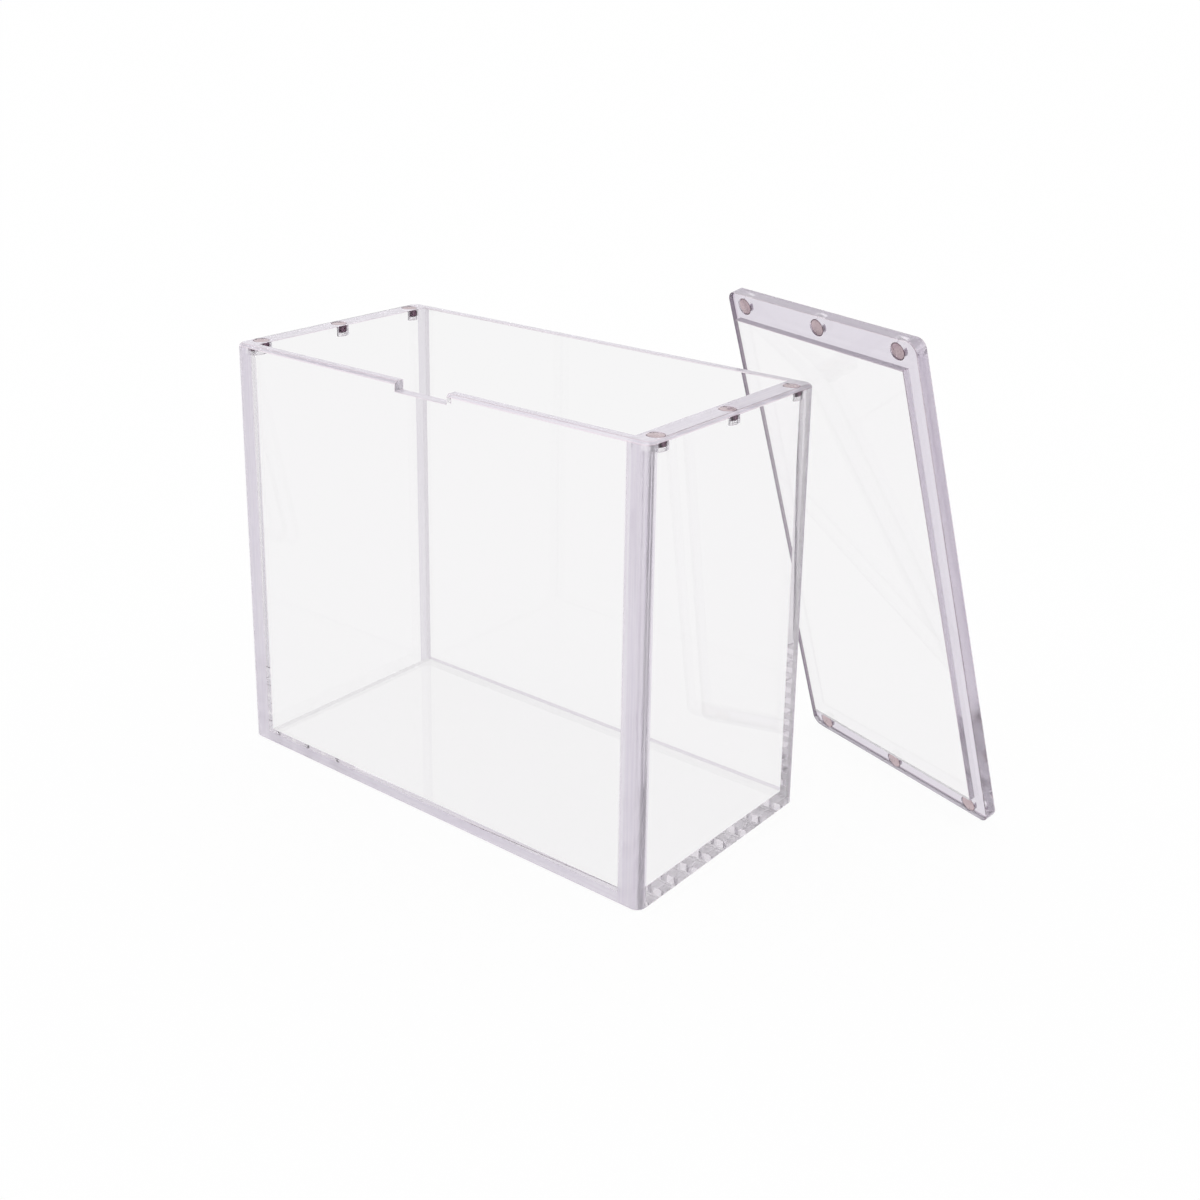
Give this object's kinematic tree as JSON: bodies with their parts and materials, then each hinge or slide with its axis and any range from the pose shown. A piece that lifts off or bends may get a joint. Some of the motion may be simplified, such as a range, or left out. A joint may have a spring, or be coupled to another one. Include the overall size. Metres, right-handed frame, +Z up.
{
  "type": "booster box display case",
  "caption": "Open-topped clear acrylic display case of bonded sheets with a finger notch in its front, and a magnetic lid leaning on its rear corner.",
  "frame": {"origin": "centre of the case's underside", "axes": "+X along the case's length, +Y from the front panel with the finger notch to the rear panel, +Z up"},
  "size_m": [0.2132, 0.1312, 0.1546],
  "materials": {
    "clear_acrylic": "polished clear sheet with polished edges",
    "magnet_plating": "nickel-plated disc"
  },
  "bodies": {
    "case": {"base_panel": "clear_acrylic", "front_panel": "clear_acrylic", "rear_panel": "clear_acrylic", "left_side_panel": "clear_acrylic", "right_side_panel": "clear_acrylic", "case_magnet_left_front": "magnet_plating", "case_magnet_left_middle": "magnet_plating", "case_magnet_left_rear": "magnet_plating", "case_magnet_right_front": "magnet_plating", "case_magnet_right_middle": "magnet_plating", "case_magnet_right_rear": "magnet_plating"},
    "lid": {"lid_plate": "clear_acrylic", "lid_locating_plate": "clear_acrylic", "lid_magnet_lower_front": "magnet_plating", "lid_magnet_lower_middle": "magnet_plating", "lid_magnet_lower_rear": "magnet_plating", "lid_magnet_upper_front": "magnet_plating", "lid_magnet_upper_middle": "magnet_plating", "lid_magnet_upper_rear": "magnet_plating"}
  },
  "joints": [
    {"name": "lid_lift", "type": "slide", "parent": "case", "child": "lid", "axis": [0, 0, 1], "range_m": [0, 0.14]}
  ]
}
